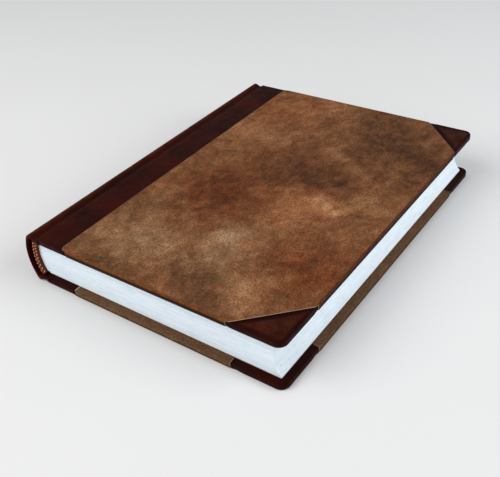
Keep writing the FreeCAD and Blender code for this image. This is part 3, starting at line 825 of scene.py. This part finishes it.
def spine_row(point, way, flip, seed):
    """Return the points of one row of the spine's leather, from its tail turn-in to its head one."""
    u = point.x
    end = mix(HALF, HALF - STEP, board_share(u))
    line = end - end_fold(u, 0.0)[2]
    stations = [(-line, step) for step in reversed(FOLD_STEPS[1:])]
    stations += [(mix(-line, line, step / SPINE_STEPS), 0.0) for step in range(SPINE_STEPS + 1)]
    stations += [(line, step) for step in FOLD_STEPS[1:]]
    row = []
    for v, out in stations:
        across, creased_and_shaded, outer = end_fold(u, out)
        along = v + across * (1 if v > 0 else -1)
        wave = 0.035 * MM * (noise.noise(Vector((u / (7 * MM), v / (11 * MM), seed))) - 1)
        spot = point - way * (creased_and_shaded - wave)
        row.append(Vector((HINGE + u, along, MID + flip * spot.y)) + Vector((spot.x - u, 0, 0)))
    return row


def spine_sheet(name, parts, materials):
    """Make the leather over a list of (section, flip, seed) parts as one sheet."""
    rows, wear_and_highlight_values, crease_and_shade_values = [], [], []
    for section, flip, seed in parts:
        for point, way in section:
            rows.append(spine_row(point, way, flip, seed))
            u = point.x
            # Lighter on the hump's crest and beside the groove, from wear and painted highlight.
            wear_and_highlight = 0.55 * bell(u, -5.2 * MM, 2.2 * MM) * smooth_step(8 * MM, 13 * MM, point.y)
            wear_and_highlight += 0.12 * bell(u, 3.2 * MM, 0.9 * MM)
            # Painted shade: darker in the joint's groove and beside the side leather's edge.
            crease_and_shade = 0.4 * bell(u, 0.4 * MM, 1.6 * MM)
            crease_and_shade += 0.5 * bell(u, SIDE_EDGE, 1.0 * MM)
            wear_and_highlight_values += [min(wear_and_highlight, 1.0)] * len(rows[-1])
            crease_and_shade_values += [min(crease_and_shade, 1.0)] * len(rows[-1])
    width = len(rows[0])
    vertices = [point for row in rows for point in row]
    faces = []
    for r in range(len(rows) - 1):
        for c in range(width - 1):
            faces.append((r * width + c, (r + 1) * width + c, (r + 1) * width + c + 1, r * width + c + 1))
    obj = new_object(name, vertices, faces, materials)
    add_float(obj, "wear_and_highlight", wear_and_highlight_values)
    add_float(obj, "crease_and_shade", crease_and_shade_values)
    return obj


def spine_leathers(material):
    """The leather over spine and joints."""
    section = spine_section()
    crest = min(range(len(section)), key=lambda i: abs(section[i][0].x + HUMP_CREST) + abs(section[i][1].x))
    front = spine_sheet("spine_and_front_joint_leather",
                        [(list(reversed(section[:crest + 1])), -1, 2.0), (section[1:], 1, 2.0)], [material])
    back = spine_sheet("back_joint_leather", [(list(reversed(section[crest:])), -1, 2.0)], [material])
    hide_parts("spine_leather", "front_spine_flange")
    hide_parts("back_spine_flange")
    for obj, cover in ((front, "front_cover"), (back, "back_cover")):
        thicken(obj, DARK_LEATHER)
        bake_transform(obj)


# Pages

def arc_depth(half, sag, height):
    """Return how deep an arc of that sag lies at a height from its middle."""
    radius = (half ** 2 + sag ** 2) / (2 * sag)
    return math.sqrt(radius ** 2 - height ** 2) - (radius - sag)


FORE_HOLLOW = 4.5 * MM
SPINE_BULGE = 2.5 * MM
LEAVES = 66
GATHERING = 5
PAGE_WAVE = 0.05 * MM

# How many steps each side of the pages has, the same at every height
END_STEPS = 50
FORE_STEPS = 66
SPINE_SIDE_STEPS = 18


def page_levels():
    """Return the heights of the leaves' edges and how far each stands back."""
    rng = random.Random(11)
    low, high = PAGES_LOW.z, PAGES_HIGH.z
    thick = (high - low) / LEAVES
    levels = []
    back = 0.0
    for leaf in range(LEAVES):
        if leaf % GATHERING == 0:
            back = rng.uniform(0.0, 0.16) * MM
            groove = rng.uniform(0.10, 0.22) * MM
        else:
            groove = rng.uniform(0.03, 0.09) * MM
        own = back + rng.uniform(0.0, 0.05) * MM
        base = low + leaf * thick
        levels += [(base, own + groove), (base + 0.22 * thick, own), (base + 0.85 * thick, own)]
    levels.append((high, back + 0.05 * MM))
    return levels


def text_block(material):
    """All the pages as one solid, with the relief of the leaves along its edges."""
    half = (PAGES_HIGH.z - PAGES_LOW.z) / 2
    spine_u = PAGES_LOW.x + SPINE_BULGE
    half_v = PAGES_HIGH.y
    vertices, faces = [], []
    width = 0
    for z, back in page_levels():
        height = z - MID
        fore = PAGES_HIGH.x - arc_depth(half, FORE_HOLLOW, height) - back
        spine = spine_u - arc_depth(half, SPINE_BULGE, height)
        v = half_v - back
        loop = [Vector((mix(spine, fore, step / END_STEPS), -v)) for step in range(END_STEPS)]
        loop += [Vector((fore, mix(-v, v, step / FORE_STEPS))) for step in range(FORE_STEPS)]
        loop += [Vector((mix(fore, spine, step / END_STEPS), v)) for step in range(END_STEPS)]
        loop += [Vector((spine, mix(v, -v, step / SPINE_SIDE_STEPS))) for step in range(SPINE_SIDE_STEPS)]
        width = len(loop)
        for point in loop:
            wave = PAGE_WAVE * noise.noise(Vector((point.x / (14 * MM), point.y / (14 * MM), z / (0.9 * MM))))
            drawn = point * (1 - max(wave, 0.0) / half_v)
            vertices.append(Vector((drawn.x, drawn.y, z)))
    count = len(vertices) // width
    for r in range(count - 1):
        for c in range(width):
            d = (c + 1) % width
            faces.append((r * width + c, r * width + d, (r + 1) * width + d, (r + 1) * width + c))
    faces.append(tuple(reversed(range(width))))
    faces.append(tuple((count - 1) * width + c for c in range(width)))
    obj = new_object("pages", vertices, faces, [material], smooth=False)
    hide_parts("text_block")
    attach(obj, "book_block")


# The endpaper: where it turns in the joint, and where it sinks between the leather turned in
PAPER_TURN = 0.6 * MM
PAPER_SINK = 0.28 * MM
DISH_START = 25.5 * MM
DISH_SLOPE = 2.5 * MM
PAPER_COLUMNS = 88


def dish(u, v):
    """Return 1 where the pastedown lies on the bare board and 0 over the leather turned in."""
    spine_side = smooth_step(DISH_START, DISH_START + DISH_SLOPE, u)
    fore_side = smooth_step(REACH - TURN_WIDTH, REACH - TURN_WIDTH - DISH_SLOPE, u)
    ends = smooth_step(HALF - TURN_WIDTH, HALF - TURN_WIDTH - DISH_SLOPE, abs(v))
    return spine_side * fore_side * ends


def endpaper(side, material):
    """A folded endpaper: glued to the cover, through the joint, and free on the pages."""
    cover_level = PASTE_HIGH.z - PAPER / 2
    page_level = FLY_LOW.z + PAPER / 2
    path = [(u, page_level) for u in span(FLY_HIGH.x - HINGE, PAPER_TURN, 4 * MM)]
    centre = (cover_level + page_level) / 2
    radius = (page_level - cover_level) / 2
    path += [(PAPER_TURN - radius * math.sin(a), centre + radius * math.cos(a))
             for a in span(0, math.pi, math.pi / 14)[1:-1]]
    path += [(u, cover_level) for u in span(PAPER_TURN, PASTE_HIGH.x - HINGE, 2.5 * MM)]
    vertices, faces = [], []
    for u, depth in path:
        share = smooth_step(page_level, cover_level, depth)
        half = mix(FLY_HIGH.y, PASTE_HIGH.y, share)
        for column in range(PAPER_COLUMNS + 1):
            v = mix(-half, half, column / PAPER_COLUMNS)
            low = depth
            if share > 0.99:
                low = depth - PAPER_SINK * dish(u, v)
            elif share < 0.01:
                low = depth + 0.02 * MM * noise.noise(Vector((u / (18 * MM), v / (18 * MM), 5.0)))
            vertices.append(on_cover(side, Vector((u, v)), low))
    width = PAPER_COLUMNS + 1
    for r in range(len(path) - 1):
        for c in range(PAPER_COLUMNS):
            face = (r * width + c, r * width + c + 1, (r + 1) * width + c + 1, (r + 1) * width + c)
            faces.append(face if side == "front" else tuple(reversed(face)))
    obj = new_object(f"{side}_endpaper", vertices, faces, [material])
    thicken(obj, PAPER, offset=0.0)
    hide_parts(f"{side}_pastedown", f"{side}_flyleaf")
    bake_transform(obj)


# Endbands

BAND_INSET = 0.3 * MM
BAND_WIDTH = 3.6 * MM
THREAD = 0.25 * MM
STITCH = 0.36 * MM
STITCH_PITCH = 2.4 * MM
BAND_OVERRUN = 0.8 * MM
CORE_STEPS = 12
THREAD_SIDES = 6
STITCH_SIDES = 8

# How far round the band the stitches of each row lie, as a share of half a turn
STITCH_ROWS = (0.74, 0.46)

# Which thread each thing is made of, in the order of the materials
COPPER, CREAM, BROWN = range(3)


def tube(points, radius, sides, vertices, faces, tones, tone):
    """Add a thin closed tube along points to lists of vertices, faces and face materials."""
    first = len(vertices)
    for index, point in enumerate(points):
        before = points[max(index - 1, 0)]
        after = points[min(index + 1, len(points) - 1)]
        along = (after - before).normalized()
        if index == 0:
            side = along.orthogonal().normalized()
        else:
            side = (side - along * side.dot(along)).normalized()
        up = along.cross(side)
        for turn in range(sides):
            angle = 2 * math.pi * turn / sides
            vertices.append(point + (side * math.cos(angle) + up * math.sin(angle)) * radius)
    for ring in range(len(points) - 1):
        for turn in range(sides):
            following = (turn + 1) % sides
            faces.append((first + ring * sides + turn, first + ring * sides + following,
                          first + (ring + 1) * sides + following, first + (ring + 1) * sides + turn))
            tones.append(tone)
    faces.append(tuple(first + turn for turn in reversed(range(sides))))
    faces.append(tuple(first + (len(points) - 1) * sides + turn for turn in range(sides)))
    tones += [tone, tone]


def endband(end, turn, materials):
    """An endband: threads wound over a core, with small pale stitches on top of them."""
    half = (PAGES_HIGH.z - PAGES_LOW.z) / 2
    bulge = (half ** 2 + SPINE_BULGE ** 2) / (2 * SPINE_BULGE)
    centre = PAGES_LOW.x + bulge
    radius = bulge - BAND_INSET
    reach = (BAND_HIGH.z - BAND_LOW.z) / 2 + BAND_OVERRUN
    limit = math.asin(reach / (radius + BAND_WIDTH / 2)) - 0.01
    wide = BAND_WIDTH / 2 - THREAD
    tall = BAND_HIGH.y - PAGES_HIGH.y - THREAD
    vertices, faces, tones = [], [], []

    def spot(angle, bend, lift=0.0):
        across = (wide + lift) * math.cos(bend)
        up = (tall + lift) * math.sin(bend) ** 0.7
        size = radius + across
        return Vector((centre - size * math.cos(angle), turn * (PAGES_HIGH.y + up),
                       MID + size * math.sin(angle)))

    steps = span(-limit, limit, limit / 16)
    bends = [math.pi * k / CORE_STEPS for k in range(CORE_STEPS + 1)]
    vertices += [spot(angle, bend, -THREAD) for angle in steps for bend in bends]
    for i in range(len(steps) - 1):
        for k in range(CORE_STEPS):
            a = i * len(bends) + k
            face = (a, a + 1, a + len(bends) + 1, a + len(bends))
            faces.append(face if turn < 0 else tuple(reversed(face)))
            tones.append(BROWN)
    for index, angle in enumerate(span(-limit + 0.01, limit - 0.01, 2 * THREAD / radius)):
        lean = 0.005 * math.sin(index * 1.7)
        arch = [spot(angle + lean * math.cos(bend), bend) for bend in bends]
        tube(arch, THREAD, THREAD_SIDES, vertices, faces, tones, BROWN if index % 3 == 0 else COPPER)
    rng = random.Random(23)
    half_step = STITCH_PITCH / radius / 2
    for index, angle in enumerate(span(-limit + 0.05, limit - 0.05, half_step)):
        bend = math.pi * (STITCH_ROWS[index % 2] + rng.uniform(-0.04, 0.04))
        stitch = [spot(angle + share * STITCH / radius, bend + 0.12 * share, 0.5 * STITCH * (1 - share ** 2))
                  for share in (-1.0, -0.5, 0.0, 0.5, 1.0)]
        tube(stitch, STITCH * rng.uniform(0.8, 1.0), STITCH_SIDES, vertices, faces, tones, CREAM)
    obj = new_object(f"{end}_endband_threads", vertices, faces, materials)
    obj.data.polygons.foreach_set("material_index", tones)
    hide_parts(f"{end}_endband")
    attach(obj, "book_block")


# Camera, light and floor, in the photograph's view

# The camera's lens in millimetres, its place, and which way the picture's right and up point
LENS = 52.88
CAMERA_PLACE = Vector((0.2157, -0.2949, 0.2521))
PICTURE_RIGHT = Vector((0.81838, 0.57058, -0.06847))
PICTURE_UP = Vector((-0.28975, 0.51258, 0.80828))

FLOOR_HALF = 6.0
WORLD_TONE = (0.94, 0.97, 1.0, 1)
WORLD_STRENGTH = 0.42
BOOK_MIDDLE = Vector((0, 0, 0.02))


def camera():
    """The photograph's camera, found by fitting the cover's edges."""
    data = bpy.data.cameras.new("camera")
    data.sensor_width = 36.0
    data.lens = LENS
    data.clip_start = 0.01
    obj = bpy.data.objects.new("camera", data)
    right = PICTURE_RIGHT.normalized()
    back = right.cross(PICTURE_UP.normalized()).normalized()
    up = back.cross(right)
    turned = Matrix((right, up, back)).transposed().to_4x4()
    turned.translation = CAMERA_PLACE
    obj.matrix_world = turned
    bpy.context.scene.collection.objects.link(obj)
    bpy.context.scene.camera = obj


def area_light(name, place, size, power, tone):
    """A square lamp that looks at the book."""
    data = bpy.data.lights.new(name, "AREA")
    data.size = size
    data.energy = power
    data.color = tone
    obj = bpy.data.objects.new(name, data)
    obj.location = place
    obj.rotation_euler = (BOOK_MIDDLE - Vector(place)).to_track_quat("-Z", "Y").to_euler()
    bpy.context.scene.collection.objects.link(obj)


def studio():
    """A pale floor, a soft key light from the tail side and an even, pale surround."""
    n = Nodes("floor", stored=False)
    grain = n.noise(0.2, 2.0)
    floor_material = n.finish(n.blend(grain, (0.74, 0.735, 0.73, 1), (0.76, 0.755, 0.75, 1)), 0.9,
                              Specular_IOR_Level=0.0)
    corners = [(x * FLOOR_HALF, y * FLOOR_HALF, 0) for x, y in ((-1, -1), (1, -1), (1, 1), (-1, 1))]
    floor = new_object("floor", corners, [(0, 1, 2, 3)], [floor_material], smooth=False)
    world = bpy.data.worlds.new("studio")
    world.use_nodes = True
    surround = world.node_tree.nodes["Background"]
    surround.inputs["Color"].default_value = WORLD_TONE
    surround.inputs["Strength"].default_value = WORLD_STRENGTH
    bpy.context.scene.world = world
    area_light("key", (-0.5, -0.75, 0.85), size=1.0, power=11.3, tone=(1.0, 0.99, 0.98))
    area_light("fill", (0.95, 0.25, 0.6), size=0.8, power=8.0, tone=(0.97, 0.985, 1.0))
    bpy.context.scene.view_settings.view_transform = "Standard"


def dress_hidden_parts():
    """Give the carried-over pieces inside the book their materials."""
    board = card("cover_board", colour(176, 164, 142), colour(140, 128, 108))
    strip = card("spine_card", colour(200, 186, 158), colour(170, 154, 124))
    lining = cloth("lining_cloth")
    finishes = {"front_board": board, "back_board": board, "spine_inlay": strip, "spine_mull": lining,
                "front_mull_flap": lining, "back_mull_flap": lining}
    for node, material in finishes.items():
        slots = frame["nodes"][node].data.materials
        slots.clear()
        slots.append(material)


def main():
    camera()
    studio()
    dress_hidden_parts()
    dark = dark_leather("dark_leather")
    raw = cut_edge("cut_edge")
    # The front's edge wall and the back's outer bend look down: their dark colours are painted shade.
    suedes = {"front": suede("front_suede", 1.0, colour(104, 58, 20), colour(34, 15, 9)),
              "back": suede("back_suede", -1.0, colour(70, 30, 15), colour(98, 76, 44))}
    for side in ("front", "back"):
        side_leather(side, [suedes[side], raw])
        for end, turn in (("head", 1), ("tail", -1)):
            dark_corner(side, end, turn, dark)
    spine_leathers(dark)
    text_block(page_edges("page_edges"))
    white = paper("endpaper")
    for side in ("front", "back"):
        endpaper(side, white)
    threads = [thread("copper_thread", colour(146, 66, 44)), thread("cream_thread", colour(236, 188, 130)),
               thread("brown_thread", colour(84, 34, 24))]
    for end, turn in (("head", 1), ("tail", -1)):
        endband(end, turn, threads)


main()
